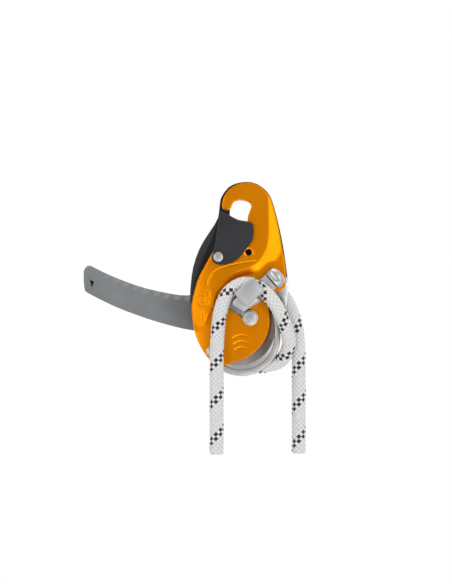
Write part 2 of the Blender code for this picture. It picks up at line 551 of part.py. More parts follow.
# ---------------------------------------------------------------- the anti-error catch
def build_catch(mats):
    origin = (CATCH_AXIS[0], 0, CATCH_AXIS[1])
    front = -INNER + RUN_GAP
    catch = prism("anti_error_catch", outline(CATCH_OUTLINE), front, front + CATCH_T, mats["steel"], origin)
    hole = SMALL_PIN_D / 2 + BORE_GAP
    drill(catch, CATCH_AXIS, hole, "catch_bore_cut", count=16)
    turned("catch_pin",
           shaft_profile((SMALL_PIN_D / 2, -INNER + RUN_GAP, BACK_FACE)), CATCH_AXIS, mats["steel"],
           steps=16)
    drill(bpy.data.objects["fixed_side_plate"], CATCH_AXIS, hole, "catch_pin_cut", count=16)
    coil("catch_spring", CATCH_AXIS, 2.6, 0.4, front + CATCH_T + 1.0, front + CATCH_T + 4.6, 3.0,
         mats["steel"], origin)


# ---------------------------------------------------------------- the rope
def build_rope(mats):
    """Three stretches of one rope, parted by a small gap inside the device and below the cam."""
    steps = 2
    line = smooth(ROPE_ROUTE, steps)
    start = []
    names = ("rope_load_strand", "rope_in_device", "rope_brake_strand")
    ends = (ENTRY_SPAN * steps, EXIT_SPAN * steps, len(line) - 1)
    first = 0
    for name, end in zip(names, ends):
        stretch = start + line[first:end + 1]
        if end < len(line) - 1:
            middle = (line[end] + line[end + 1]) / 2
            along = (line[end + 1] - line[end]).normalized() * REST_GAP / 2
            stretch.append(middle - along)
            start = [middle + along]
            first = end + 1
        tube(name, stretch, ROPE_D, mats["rope"])


def main():
    clear_scene()
    mats = {
        "orange": material("orange_anodised", (0.86, 0.30, 0.02), 0.35, 0.7),
        "black": material("black_plate", (0.03, 0.03, 0.035), 0.45, 0.3),
        "grey": material("cover_plastic", (0.10, 0.10, 0.11), 0.5),
        "plastic": material("gate_plastic", (0.05, 0.05, 0.055), 0.5),
        "handle": material("handle_plastic", (0.16, 0.165, 0.17), 0.5),
        "steel": material("stainless", (0.55, 0.56, 0.57), 0.3, 1.0),
        "bronze": material("bronze", (0.55, 0.36, 0.16), 0.4, 1.0),
        "rope": material("rope_sheath", (0.8, 0.8, 0.79), 0.9),
    }
    build_frame(mats)
    build_cam(mats)
    build_side_plate(mats)
    build_handle(mats)
    build_catch(mats)
    build_rope(mats)


main()
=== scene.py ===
import math

import bmesh
import bpy
import numpy as np
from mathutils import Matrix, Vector


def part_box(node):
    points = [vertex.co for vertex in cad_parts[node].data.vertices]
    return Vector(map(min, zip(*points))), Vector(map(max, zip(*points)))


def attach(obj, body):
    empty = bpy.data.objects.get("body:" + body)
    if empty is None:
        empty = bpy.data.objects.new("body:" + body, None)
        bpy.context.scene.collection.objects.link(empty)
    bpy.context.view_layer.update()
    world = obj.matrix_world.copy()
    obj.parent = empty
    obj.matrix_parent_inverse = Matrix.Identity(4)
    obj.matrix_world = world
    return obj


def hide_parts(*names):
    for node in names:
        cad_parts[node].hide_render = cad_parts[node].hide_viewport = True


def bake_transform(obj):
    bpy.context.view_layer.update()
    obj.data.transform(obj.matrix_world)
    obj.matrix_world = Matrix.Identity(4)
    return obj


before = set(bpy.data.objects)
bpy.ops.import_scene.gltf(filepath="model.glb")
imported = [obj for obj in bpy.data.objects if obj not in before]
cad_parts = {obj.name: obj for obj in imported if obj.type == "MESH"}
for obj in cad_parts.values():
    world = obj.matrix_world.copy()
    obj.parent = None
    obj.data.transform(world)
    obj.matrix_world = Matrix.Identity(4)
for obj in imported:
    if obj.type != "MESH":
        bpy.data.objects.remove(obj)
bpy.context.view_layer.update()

# %% [markdown]
# A rope descender hangs by its top eye. Two side plates hold an eccentric cam, a long handle behind
# turns the cam, and a rope runs round the cam and over a friction bracket on the front.

# %% Units and the depths that the frame gives
MM = 0.001
PLATE_LOW, PLATE_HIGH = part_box("moving_side_plate")
PLATE_FRONT = PLATE_LOW.y
PLATE_BACK = PLATE_HIGH.y
RELIEF = 3.4 * MM                     # height of the pressed field over the lower one
FIELD = PLATE_FRONT + RELIEF          # front of the plate's lower field
print("plate front", round(PLATE_FRONT, 4), "field", round(FIELD, 4), "back", round(PLATE_BACK, 4))

# %% [markdown]
# The camera stands square in front of the device, far away with a long lens, so that the side plates
# show almost no perspective. The lens follows from the height that the view should take in. An
# orthographic camera would be simpler, but it would hide the small perspective that a real lens has.

# %% Camera
VIEW_CENTRE = Vector((-12.6 * MM, -12 * MM, -71.9 * MM))
VIEW_HEIGHT = 459.2 * MM
CAMERA_DISTANCE = 3.0
SENSOR_WIDTH = 36                     # of a full-frame camera, mm


def make_camera():
    bpy.ops.object.camera_add(location=VIEW_CENTRE - Vector((0, CAMERA_DISTANCE, 0)),
                              rotation=(math.radians(90), 0, 0))
    camera = bpy.context.object
    camera.data.type = "PERSP"
    camera.data.sensor_width = SENSOR_WIDTH
    camera.data.lens = SENSOR_WIDTH * CAMERA_DISTANCE / VIEW_HEIGHT
    bpy.context.scene.camera = camera
    print("lens", round(camera.data.lens), "mm at", CAMERA_DISTANCE, "m")


make_camera()
bpy.context.scene.view_settings.view_transform = "Standard"

# %% [markdown]
# Materials are made of nodes on the Principled shader. They could be wired by hand in the shader editor.
# Functions are used here because every finish shares the same few moves, and a change in one place then
# reaches them all.


# %% Making nodes
def new_material(name, color, roughness, metallic=0.0, **sockets):
    material = bpy.data.materials.new(name)
    material.use_nodes = True
    shader = material.node_tree.nodes["Principled BSDF"]
    shader.inputs["Base Color"].default_value = (*color, 1)
    shader.inputs["Roughness"].default_value = roughness
    shader.inputs["Metallic"].default_value = metallic
    for socket, value in sockets.items():
        shader.inputs[socket.replace("_", " ")].default_value = value
    return material


def node(material, kind, **settings):
    made = material.node_tree.nodes.new(kind)
    for name, value in settings.items():
        if hasattr(made, name):
            setattr(made, name, value)
        else:
            made.inputs[name.replace("_", " ")].default_value = value
    return made


def link(material, source, target):
    material.node_tree.links.new(source, target)


def shader_of(material):
    return material.node_tree.nodes["Principled BSDF"]


# %% [markdown]
# No real surface has one even colour or gloss. A noise, read on the piece's own coordinates so that it
# moves with the piece, is spread to a small range. It then mixes two near colours, shifts the roughness,
# or lifts the surface by a few hundredths of a millimetre as a bump.


# %% Noise, colour and bump
def noise(material, scale, detail=3.0, stretch=(1, 1, 1)):
    """Noise on the piece's own coordinates, which are metres."""
    place = node(material, "ShaderNodeTexCoord")
    mapping = node(material, "ShaderNodeMapping", Scale=stretch)
    made = node(material, "ShaderNodeTexNoise", Scale=scale, Detail=detail)
    link(material, place.outputs["Object"], mapping.inputs["Vector"])
    link(material, mapping.outputs["Vector"], made.inputs["Vector"])
    return made.outputs["Fac"]


def spread(material, value, low, high, start=0.3, end=0.7):
    """Map a value between start and end to the range low to high."""
    made = node(material, "ShaderNodeMapRange", From_Min=start, From_Max=end, To_Min=low, To_Max=high)
    link(material, value, made.inputs["Value"])
    return made.outputs["Result"]


def tint(material, factor, low, high):
    """Mix two colours by a factor."""
    made = node(material, "ShaderNodeMix", data_type="RGBA")
    made.inputs[6].default_value = (*low, 1)
    made.inputs[7].default_value = (*high, 1)
    link(material, factor, made.inputs[0])
    return made.outputs[2]


def bump(material, height, distance, strength):
    made = node(material, "ShaderNodeBump", Strength=strength, Distance=distance)
    link(material, height, made.inputs["Height"])
    link(material, made.outputs["Normal"], shader_of(material).inputs["Normal"])


# %% [markdown]
# The moving plate is pressed aluminium, anodised orange. Anodising is a thin dyed glass on bare metal.
# A clear coat over a metal would come near it. Here the dye is simply the metal's base colour, with a
# satin roughness that wanders slightly, because the film is far too thin to show a surface of its own.
# The fixed plate is so dark that it reads as a plain black with little shine.


# %% Anodised plates
def anodised(name, deep, light, roughness, metallic, shine=0.5):
    material = new_material(name, deep, roughness, metallic, Specular_IOR_Level=shine)
    shader = shader_of(material)
    cloud = noise(material, 38, 4)
    link(material, tint(material, spread(material, cloud, 0, 1), deep, light), shader.inputs["Base Color"])
    grain = noise(material, 2600, 2)
    link(material, spread(material, grain, roughness - 0.05, roughness + 0.07), shader.inputs["Roughness"])
    bump(material, grain, 0.00003, 0.5)
    return material


ORANGE = anodised("orange anodised", (0.86, 0.262, 0.002), (0.93, 0.298, 0.003), 0.34, 1.0)
BLACK = anodised("black anodised", (0.009, 0.009, 0.010), (0.016, 0.016, 0.018), 0.45, 0.0, 0.2)
print("anodised:", ORANGE.name, "and", BLACK.name)


# %% [markdown]
# The gate, the rear cover and the handle are moulded in glass-filled plastic. Their moulds are eroded by
# sparks, which leaves an even pitted grain. The grain could be real geometry, but it is far finer than
# any mesh, so a bump stands in for it. The three differ only in colour and gloss.


# %% Moulded plastics
def moulded(name, deep, light, roughness, shine):
    """Glass-filled plastic with a spark-eroded grain."""
    material = new_material(name, deep, roughness, Specular_IOR_Level=shine)
    shader = shader_of(material)
    cloud = noise(material, 60, 3)
    link(material, tint(material, spread(material, cloud, 0, 1), deep, light), shader.inputs["Base Color"])
    grain = noise(material, 1700, 3)
    link(material, spread(material, grain, roughness - 0.06, roughness + 0.10), shader.inputs["Roughness"])
    bump(material, grain, 0.00006, 0.7)
    return material


GATE_PLASTIC = moulded("gate plastic", (0.019, 0.019, 0.022), (0.025, 0.025, 0.029), 0.42, 0.35)
COVER_PLASTIC = moulded("cover plastic", (0.045, 0.045, 0.050), (0.058, 0.058, 0.064), 0.48, 0.3)
HANDLE_PLASTIC = moulded("handle plastic", (0.180, 0.189, 0.197), (0.215, 0.226, 0.235), 0.42, 0.5)
print("plastics:", GATE_PLASTIC.name, COVER_PLASTIC.name, HANDLE_PLASTIC.name)


# %% [markdown]
# Steel shows how it was made. Castings are blasted, which leaves a grain that is the same each way, and
# turned parts have fine rings. Both come from one noise, stretched along one axis for the turned parts.
# Real rings would need a circular pattern about each axis, which would hardly show at this size. The
# cam's bush is bronze, a coloured metal, so it is made as the dyed plate is.


# %% Steels and bronze
def stainless(name, light, roughness, grain_scale, stretch=(1, 1, 1), depth=0.00003):
    """Steel, blasted or turned, by how its grain is stretched."""
    material = new_material(name, (light, light, light), roughness, 1.0)
    shader = shader_of(material)
    cloud = noise(material, 90, 4)
    dark = (light * 0.86, light * 0.86, light * 0.87)
    link(material, tint(material, spread(material, cloud, 0, 1), dark, (light, light, light)),
         shader.inputs["Base Color"])
    grain = noise(material, grain_scale, 3, stretch)
    link(material, spread(material, grain, roughness - 0.06, roughness + 0.08), shader.inputs["Roughness"])
    bump(material, grain, depth, 0.6)
    return material


CAST_STEEL = stainless("blasted cast steel", 0.62, 0.38, 2200)
TURNED_STEEL = stainless("turned steel", 0.63, 0.32, 900, (1, 14, 1), 0.00001)
BRONZE = anodised("turned bronze", (0.52, 0.31, 0.12), (0.64, 0.40, 0.17), 0.34, 1.0)
print("metals:", CAST_STEEL.name, TURNED_STEEL.name, BRONZE.name)

# %% [markdown]
# An 11 mm rope goes in between the plates, runs round the cam, comes out below it, bends up over the
# friction bracket and hangs down again. A curve object with a bevel would draw it, but a rope's sheath
# is to be modelled on it, so the route is a list of points and the tube is made ring by ring. The points
# are the CAD's own, in millimetres, so that the rope that is seen lies where the solids are.

# %% The rope's route, which the CAD solids follow
ROPE_D = 11 * MM
ROPE_ROUTE = [
    (44.8, 0.0, -199.3), (44.8, 0.0, -172.0), (44.8, 0.1, -145.0), (44.7, 0.2, -122.0), (43.6, 0.2, -104.0),
    (40.9, 0.1, -92.5), (36.6, 0.0, -81.3), (30.6, 0.0, -73.2), (22.5, 0.0, -70.6), (12.5, 0.0, -72.2),
    (3.0, 0.0, -76.6), (-5.8, 0.0, -82.8), (-13.0, 0.0, -92.0), (-16.5, 0.0, -103.0), (-16.0, 0.0, -113.5),
    (-10.6, 0.0, -123.0), (-1.5, 0.0, -129.2), (9.0, 0.0, -130.9), (19.2, -0.2, -129.9), (28.8, -1.2, -127.0),
    (34.5, -5.6, -120.8), (36.9, -10.4, -111.5), (34.9, -15.6, -101.4), (30.8, -20.6, -90.4),
    (25.0, -24.0, -80.2), (17.0, -24.8, -71.4), (8.8, -24.8, -66.7), (0.5, -24.8, -65.6),
    (-7.5, -24.3, -69.5), (-13.4, -23.2, -76.6), (-16.9, -22.0, -87.0), (-18.9, -21.3, -101.0),
    (-19.8, -21.2, -120.0), (-20.0, -21.2, -145.0), (-20.0, -21.2, -172.0), (-20.0, -21.2, -199.3)]
ENTRY_AT, EXIT_AT = 6.75, 17.25       # where one stretch meets the next, counted in points


def smooth(points, steps):
    """An open smooth curve through the points, with steps pieces between each pair."""
    pts = np.array(points, float)
    pts = np.vstack([2 * pts[0] - pts[1], pts, 2 * pts[-1] - pts[-2]])
    t = (np.arange(steps) / steps)[:, None]
    line = []
    for p0, p1, p2, p3 in zip(pts, pts[1:], pts[2:], pts[3:]):
        line.append(0.5 * (2 * p1 + (p2 - p0) * t + (2 * p0 - 5 * p1 + 4 * p2 - p3) * t ** 2
                           + (3 * p1 - p0 - 3 * p2 + p3) * t ** 3))
    return np.vstack([*line, pts[-2][None]])


def even(line, step):
    """The same line with points an even step apart."""
    length = np.concatenate([[0], np.cumsum(np.linalg.norm(np.diff(line, axis=0), axis=1))])
    count = max(2, int(round(length[-1] / step)))
    at = np.linspace(0, length[-1], count + 1)
    return np.stack([np.interp(at, length, line[:, k]) for k in range(3)], axis=1), at


print("the rope's route has", len(ROPE_ROUTE), "points")


# %% [markdown]
# The rope has a braided sheath: eight strands turn one way and eight the other, each passing over and
# under in turn. A braid could be eight swept curves each way, but those would be heavy and would cut
# each other. Here it is one tube whose radius follows the weave: two counts, one for each direction,
# tell which strand is on top at a place and how high it stands.

# %% The braid's height
STRANDS = 8                           # in each direction
LAY = 29 * MM                         # length in which a strand turns once


def weave(around, along):
    """Height of the braid from 0 to 1, where around is in turns and along in lays."""
    p = STRANDS * (around + along)
    q = STRANDS * (around - along)
    over = (np.floor(p) + np.floor(q)) % 2 == 0
    across = np.where(over, p, q) % 1 - 0.5
    lengthwise = np.where(over, q, p) % 1 - 0.5
    return (1 - np.abs(2 * across) ** 3) * (0.45 + 0.55 * np.cos(math.pi * lengthwise))


print("a strand stands from", round(float(weave(0.0, 0.0)), 2), "to",
      round(float(weave(0.5 / STRANDS, 0.0)), 2), "high")


# %% [markdown]
# The tube is built as rings of points along the route. Each ring's side direction is carried on from
# the last one, so the rope doesn't twist where it bends. The ends close over as a cut and sealed rope
# does. The turns and the lays are stored as its UV map, so that the material knows the same weave.

# %% The braided tube
STEP = 0.45 * MM                      # distance between the tube's rings
SIDES = 72                            # points in a ring
BRAID_LOW, BRAID_HEIGHT = 0.50 * MM, 0.62 * MM    # how far the sheath dips, and how high a strand stands
END_LENGTH, END_DROP = 1.4 * MM, 1.0 * MM         # the rounded ends


def rope_mesh(name, line, start):
    """A braided tube along a line, closed at both ends, with start metres of rope before it."""
    places, at = even(line, STEP)
    tangents = np.gradient(places, axis=0)
    tangents /= np.linalg.norm(tangents, axis=1)[:, None]
    side = np.cross(tangents[0], (0.0, 1.0, 0.0))
    rings, along = [], (at + start) / LAY
    around = np.arange(SIDES) / SIDES
    turn = 2 * math.pi * around[:, None]
    last = len(places) - 1
    for i, (place, tangent) in enumerate(zip(places, tangents)):
        side = side - tangent * side.dot(tangent)
        side /= np.linalg.norm(side)
        other = np.cross(tangent, side)
        radius = ROPE_D / 2 - BRAID_LOW + BRAID_HEIGHT * weave(around, along[i])
        close = min(i, last - i) * STEP / END_LENGTH
        if close < 1:
            radius = radius - END_DROP * (1 - close) ** 2
        rings.append(place + radius[:, None] * (np.cos(turn) * side + np.sin(turn) * other))
    verts = np.vstack([*rings, places[:1], places[-1:]])
    faces, uvs = [], []
    for i in range(last):
        for k in range(SIDES):
            n = (k + 1) % SIDES
            faces.append((i * SIDES + k, i * SIDES + n, (i + 1) * SIDES + n, (i + 1) * SIDES + k))
            u0, u1 = k / SIDES, (k + 1) / SIDES
            uvs += [(u0, along[i]), (u1, along[i]), (u1, along[i + 1]), (u0, along[i + 1])]
    ends = len(verts) - 2
    for k in range(SIDES):
        n = (k + 1) % SIDES
        faces.append((ends, n, k))
        faces.append((ends + 1, last * SIDES + k, last * SIDES + n))
        uvs += [(-1.0, 0.5)] * 6      # off the map, so that no black strand shows on the ends
    mesh = bpy.data.meshes.new(name)
    mesh.from_pydata(verts.tolist(), [], faces)
    layer = mesh.uv_layers.new(name="UVMap")
    layer.data.foreach_set("uv", np.array(uvs, float).ravel())
    mesh.shade_smooth()
    piece = bpy.data.objects.new(name, mesh)
    bpy.context.scene.collection.objects.link(piece)
    return piece, places, at[-1]


# %% [markdown]
# The sheath is white polyamide with two black neighbours among the strands of one direction, which show
# as a double row of diamonds that climbs round the rope. A painted texture could show that too, but the
# material works it out from the UV map, so the black always sits on the strands that are modelled.


# %% Rope material
def math_node(material, operation, first, second=None):
    made = node(material, "ShaderNodeMath", operation=operation)
    for socket, value in zip(made.inputs, (first, second)):
        if isinstance(value, (int, float)):
            socket.default_value = value
        elif value is not None:
            link(material, value, socket)
    return made.outputs[0]


def rope_material():
    material = new_material("braided sheath", (0.80, 0.80, 0.79), 0.85, Sheen_Weight=0.35,
                            Sheen_Roughness=0.5)
    uv = node(material, "ShaderNodeTexCoord").outputs["UV"]
    parts = node(material, "ShaderNodeSeparateXYZ")
    link(material, uv, parts.inputs[0])
    around, along = parts.outputs[0], parts.outputs[1]

    def do(operation, first, second=None):
        return math_node(material, operation, first, second)

    p = do("MULTIPLY", do("ADD", around, along), STRANDS)
    q = do("MULTIPLY", do("SUBTRACT", around, along), STRANDS)
    parity = do("FLOORED_MODULO", do("ADD", do("FLOOR", p), do("FLOOR", q)), 2.0)
    over = do("LESS_THAN", parity, 0.5)
    index = do("FLOORED_MODULO", do("FLOOR", q), float(STRANDS))
    tracer = do("MULTIPLY", do("LESS_THAN", index, 1.5), do("SUBTRACT", 1.0, over))
    tracer = do("MULTIPLY", tracer, do("GREATER_THAN", around, 0.0))
    # Across the strand that is on top: painted shade darkens its sides, and three yarns are in it.
    across_p = do("ABSOLUTE", do("SUBTRACT", do("FRACT", p), 0.5))
    across_q = do("ABSOLUTE", do("SUBTRACT", do("FRACT", q), 0.5))
    lift = node(material, "ShaderNodeMix", data_type="FLOAT")
    for socket, value in zip((0, 2, 3), (over, across_q, across_p)):
        link(material, value, lift.inputs[socket])
    across = lift.outputs[0]
    groove = do("MULTIPLY", do("POWER", do("MULTIPLY", across, 2.0), 2.2), 0.45)
    speckle = noise(material, 900, 4)
    light = tint(material, spread(material, speckle, 0, 1), (0.74, 0.74, 0.735), (0.86, 0.86, 0.855))
    # Painted shade: the strand's sides are mixed towards grey where they dip.
    dark = node(material, "ShaderNodeMix", data_type="RGBA")
    dark.inputs[7].default_value = (0.26, 0.26, 0.26, 1)
    link(material, groove, dark.inputs[0])
    link(material, light, dark.inputs[6])
    color = node(material, "ShaderNodeMix", data_type="RGBA")
    color.inputs[7].default_value = (0.012, 0.012, 0.013, 1)
    link(material, tracer, color.inputs[0])
    link(material, dark.outputs[2], color.inputs[6])
    link(material, color.outputs[2], shader_of(material).inputs["Base Color"])
    yarns = do("SINE", do("MULTIPLY", across, 6 * math.pi))
    bump(material, do("ADD", do("MULTIPLY", yarns, 0.5), noise(material, 3500, 2)), 0.00008, 0.8)
    return material


ROPE = rope_material()
print("the sheath's material has", len(ROPE.node_tree.nodes), "nodes")


# %% [markdown]
# One rope is made as three pieces, as the CAD has it, because the brake strand moves with the side plate
# while the other two stay. The cuts lie where the rope enters and leaves the device. The load and held
# stretches ride on the root, and the brake strand keeps its place in its mesh.

# %% The rope in its three stretches
LOAD_SHIFT = -8 * MM                  # where the load's stretch has its marks, against the others


def make_ropes():
    steps = 24
    line = smooth(ROPE_ROUTE, steps) * MM
    entry, leave = int(ENTRY_AT * steps), int(EXIT_AT * steps)
    cuts = ((0, entry), (entry, leave), (leave, len(line) - 1))
    made, before = [], 0.0
    for name, (first, last) in zip(("load_rope", "held_rope", "brake_rope"), cuts):
        shift = LOAD_SHIFT if name == "load_rope" else 0
        piece, path, length = rope_mesh(name, line[first:last + 1], before + shift)
        piece.data.materials.append(ROPE)
        made.append((piece, path, length))
        before += length
        print(name, "length", round(float(length), 4), "m")
    return made


(load_rope, load_path, load_length), (held_rope, held_path, held_length), \
    (brake_rope, brake_path, brake_length) = make_ropes()
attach(load_rope, "root")
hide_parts("rope_load_strand")
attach(held_rope, "root")
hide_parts("rope_in_device")
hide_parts("rope_brake_strand")
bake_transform(brake_rope)


# %% [markdown]
# Modelling helpers. Operators act on what is selected, and loading the frame leaves its nodes selected,
# so everything is deselected first. Each piece ends with its place in its mesh and its object at the
# origin, as the frame's own nodes have it, so that patterns on object coordinates stay on the piece.


# %% Selecting and finishing
def select_only(piece):
    if bpy.context.object and bpy.context.object.mode != "OBJECT":
        bpy.ops.object.mode_set(mode="OBJECT")
    bpy.ops.object.select_all(action="DESELECT")
    piece.select_set(True)
    bpy.context.view_layer.objects.active = piece


def settle(piece):
    """Put the piece's place, turn and scale into its mesh."""
    select_only(piece)
    bpy.ops.object.transform_apply(location=True, rotation=True, scale=True)


def apply_modifiers(piece):
    select_only(piece)
    for modifier in list(piece.modifiers):
        bpy.ops.object.modifier_apply(modifier=modifier.name)


def smooth_by_angle(piece, degrees):
    select_only(piece)
    bpy.ops.object.shade_smooth_by_angle(angle=math.radians(degrees))


# %% [markdown]
# Edges catch light, so every finished piece gets a rounded edge of the width that its process leaves. It
# could be beveled in edit mode, but a Bevel modifier that finds the sharp edges by angle does it evenly
# on any solid. Holes and pockets are cut with a Boolean modifier, which keeps both faces closed.


# %% Rounding and cutting
def soften(piece, width, segments=2, angle=30):
    """Round the edges that are sharper than the angle."""
    modifier = piece.modifiers.new("edge", "BEVEL")
    modifier.width = width
    modifier.segments = segments
    modifier.limit_method = "ANGLE"
    modifier.angle_limit = math.radians(angle)
    modifier.use_clamp_overlap = True
    modifier.harden_normals = False
    apply_modifiers(piece)
    smooth_by_angle(piece, 40)


def cut_with(piece, tool):
    """Cut a tool's shape out of a piece and remove the tool."""
    modifier = piece.modifiers.new("cut", "BOOLEAN")
    modifier.operation = "DIFFERENCE"
    modifier.object = tool
    modifier.solver = "EXACT"
    apply_modifiers(piece)
    bpy.data.objects.remove(tool)


def dress(piece, material, body, slot, *nodes):
    """Give a piece its material, the body that it rides on, and the CAD nodes that it stands for."""
    piece.data.materials.clear()
    piece.data.materials.append(material)
    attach(piece, body)
    if nodes:
        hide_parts(*nodes)


# %% [markdown]
# The frame's solids are made of triangles. A copy is the best start for a finished piece, since it has
# the right size and place. Its double points are merged and its flat faces are joined again, so that
# a bevel and a cut run cleanly over them.


# %% Copies of the frame's nodes
def copy_of_node(name, new_name):
    """A copy of a CAD node with its triangles merged back to clean faces."""
    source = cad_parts[name]
    select_only(source)
    bpy.ops.object.duplicate()
    piece = bpy.context.object
    piece.name = new_name
    piece.parent = None
    for key in [k for k in piece.keys() if k.startswith("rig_")]:
        del piece[key]
    bpy.ops.object.mode_set(mode="EDIT")
    bpy.ops.mesh.select_all(action="SELECT")
    bpy.ops.mesh.remove_doubles(threshold=0.000001)
    bpy.ops.mesh.dissolve_limited(angle_limit=math.radians(0.5))
    bpy.ops.object.mode_set(mode="OBJECT")
    if piece.data.has_custom_normals:
        bpy.ops.mesh.customdata_custom_splitnormals_clear()
    return piece


print("the frame has", len(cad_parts), "nodes to copy")


# %% [markdown]
# The small turned and cut parts have the right shape in the frame already: posts, screws, the nut, pins,
# the shaft. They could be modelled again, but that would only repeat the CAD. Each is copied, its edges
# are rounded as a tumbler would round them, and it takes its metal.

# %% Hardware
HARDWARE_EDGE = 0.25 * MM
HARDWARE = ["pivot_spacer", "spacer_post_1", "spacer_post_2", "cover_screw_1", "cover_screw_2",
            "cover_screw_3", "cam_axle_nut", "friction_insert", "insert_screw_1", "insert_screw_2",
            "catch_pin", "bracket_rivet", "handle_shaft", "handle_washer", "cam_bush"]
BODIES = {"bracket_rivet": "side_plate", "handle_shaft": "handle", "handle_washer": "handle",
          "cam_bush": "cam"}          # the others ride on the root
METALS = {"friction_insert": (CAST_STEEL, "cast_stainless"), "cam_bush": (BRONZE, "bronze")}


def make_hardware():
    for name in HARDWARE:
        piece = copy_of_node(name, name + "_finished")
        soften(piece, HARDWARE_EDGE)
        material, slot = METALS.get(name, (TURNED_STEEL, "steel"))
        dress(piece, material, BODIES.get(name, "root"), slot, name)
    print("hardware pieces", len(HARDWARE))


make_hardware()

# %% [markdown]
# The two springs are wire coils. The frame's own solids already are swept round wire, so they stay and
# only take the steel.

# %% Springs
for spring in ("gate_spring", "catch_spring"):
    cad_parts[spring].data.materials.clear()
    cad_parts[spring].data.materials.append(TURNED_STEEL)
    print(spring, "takes", TURNED_STEEL.name)

# %% [markdown]
# Turned parts are spun from half a profile, as a lathe would cut them. The profile starts as a circle
# primitive, whose points are moved to their radius and depth, because the spin operator then makes an
# even round form with any profile. Where it starts and ends on the axis, its closing edge would spin
# into nothing, so that edge is deleted first.


# %% A lathe
def lathe(name, profile, centre, steps=72):
    """Spin a (radius, depth) profile about a line along Y through the centre, an (x, z) pair."""
    bpy.ops.object.select_all(action="DESELECT")
    bpy.ops.mesh.primitive_circle_add(vertices=len(profile), fill_type="NOTHING")
    piece = bpy.context.object
    piece.name = name
    for vertex, (radius, depth) in zip(piece.data.vertices, profile):
        vertex.co = (centre[0] + radius, depth, centre[1])
    bpy.ops.object.mode_set(mode="EDIT")
    if profile[0][0] == 0 and profile[-1][0] == 0:
        mesh = bmesh.from_edit_mesh(piece.data)
        mesh.verts.ensure_lookup_table()
        closing = mesh.edges.get((mesh.verts[0], mesh.verts[-1]))
        bmesh.ops.delete(mesh, geom=[closing], context="EDGES")
        bmesh.update_edit_mesh(piece.data)
    bpy.ops.mesh.select_all(action="SELECT")
    bpy.ops.mesh.spin(steps=steps, angle=2 * math.pi, center=(centre[0], 0, centre[1]), axis=(0, 1, 0))
    bpy.ops.mesh.select_all(action="SELECT")
    bpy.ops.mesh.remove_doubles(threshold=0.000002)
    bpy.ops.mesh.normals_make_consistent(inside=False)
    bpy.ops.object.mode_set(mode="OBJECT")
    return piece


# %% [markdown]
# Some edges are rounded more than the rest, such as the top of the pressed step or the handle's front
# corner. By hand they would be picked with the mouse. In a script they are found by a rule on their place
# and on the angle between their faces, which is negative in a hollow corner.


# %% Beveling chosen edges
def bevel_edges(piece, wanted, width, segments):
    """Bevel the edges for which wanted(edge, middle, angle in degrees) is true."""
    select_only(piece)
    bpy.ops.object.mode_set(mode="EDIT")
    bpy.ops.mesh.select_mode(type="EDGE")
    bpy.ops.mesh.select_all(action="DESELECT")
    mesh = bmesh.from_edit_mesh(piece.data)
    count = 0
    for edge in mesh.edges:
        if len(edge.link_faces) == 2:
            middle = (edge.verts[0].co + edge.verts[1].co) / 2
            if wanted(edge, middle, math.degrees(edge.calc_face_angle_signed(0))):
                edge.select_set(True)
                count += 1
    bmesh.update_edit_mesh(piece.data)
    if count:
        bpy.ops.mesh.bevel(offset=width, segments=segments, affect="EDGES", clamp_overlap=True)
    bpy.ops.object.mode_set(mode="OBJECT")
    return count


# %% [markdown]
# The moving side plate is one sheet, pressed so that its upper field stands out over the lower one. The
# press also folds its right edge back along a curved line and rounds its left side. Such shapes could
# be sculpted by hand. Here a copy of the frame's solid is cut into a grid with bisect, and each point of
# its front moves back by a depth worked out from its place, because a formula keeps the fold exact.

# %% Where the plate is folded and marked
FOLD = [(18.6, 14.0), (20.4, 4.4), (21.0, -10.0), (21.0, -26.8), (19.8, -36.0), (16.9, -42.4), (13.5, -47.5),
        (7.7, -51.8), (1.4, -53.9), (-5.0, -56.2), (-9.8, -59.6), (-13.9, -64.8), (-16.8, -71.0)]
MARKS = [
    [(-26.9, -67.0), (-26.4, -62.0), (-23.4, -57.4), (-18.6, -54.2), (-13.0, -52.2), (-3.9, -49.9),
     (4.0, -48.6), (11.2, -47.7)],
    [(-31.6, -86.9), (-31.6, -93.0), (-31.5, -98.4)],
    [(-29.6, -71.6), (-25.8, -70.8), (-25.6, -77.6), (-27.4, -81.6), (-31.4, -82.8), (-34.4, -80.2),
     (-34.6, -76.4), (-31.8, -74.2), (-28.9, -75.4), (-29.0, -78.6), (-31.0, -79.8)],
    [(-7.0, -108.4), (-3.6, -106.4), (0.4, -105.8), (4.4, -106.8)],
    [(-6.4, -113.0), (-3.4, -111.2), (0.3, -110.7), (3.8, -111.6)],
    [(-5.6, -117.6), (-2.9, -116.0), (0.2, -115.5), (3.1, -116.3)],
]


def dense(points):
    """A smooth curve through points given in millimetres, in metres."""
    return smooth([(x, 0, z) for x, z in points], 12)[:, [0, 2]] * MM


FOLD_LINE = dense(FOLD)
MARK_LINES = [dense(points) for points in MARKS]


def beyond(places, line):
    """Distance of each place from a line, positive on the line's left as it runs down."""
    start, run = line[:-1], np.diff(line, axis=0)
    reach = places[:, None, :] - start[None]
    t = np.clip((reach * run).sum(2) / (run * run).sum(1), 0, 1)
    away = reach - t[..., None] * run
    length = np.linalg.norm(away, axis=2)
    nearest = length.argmin(1)
    rows = np.arange(len(places))
    side = run[nearest, 0] * reach[rows, nearest, 1] - run[nearest, 1] * reach[rows, nearest, 0]
    return length[rows, nearest] * np.sign(side)


print("the fold line is", len(FOLD_LINE), "points long, with", len(MARK_LINES), "marks beside it")


# %% [markdown]
# A press tool sets how deep every place of the sheet lies. Past the fold line the strip slopes back, more
# steeply over the cam, and the fold has a small radius. The left side rounds off as a parabola, which
# is near enough to an arc. The marks are shallow rolled grooves with a smooth section. All of it is a
# few formulas of a place in the front view, so that each can be set by itself.


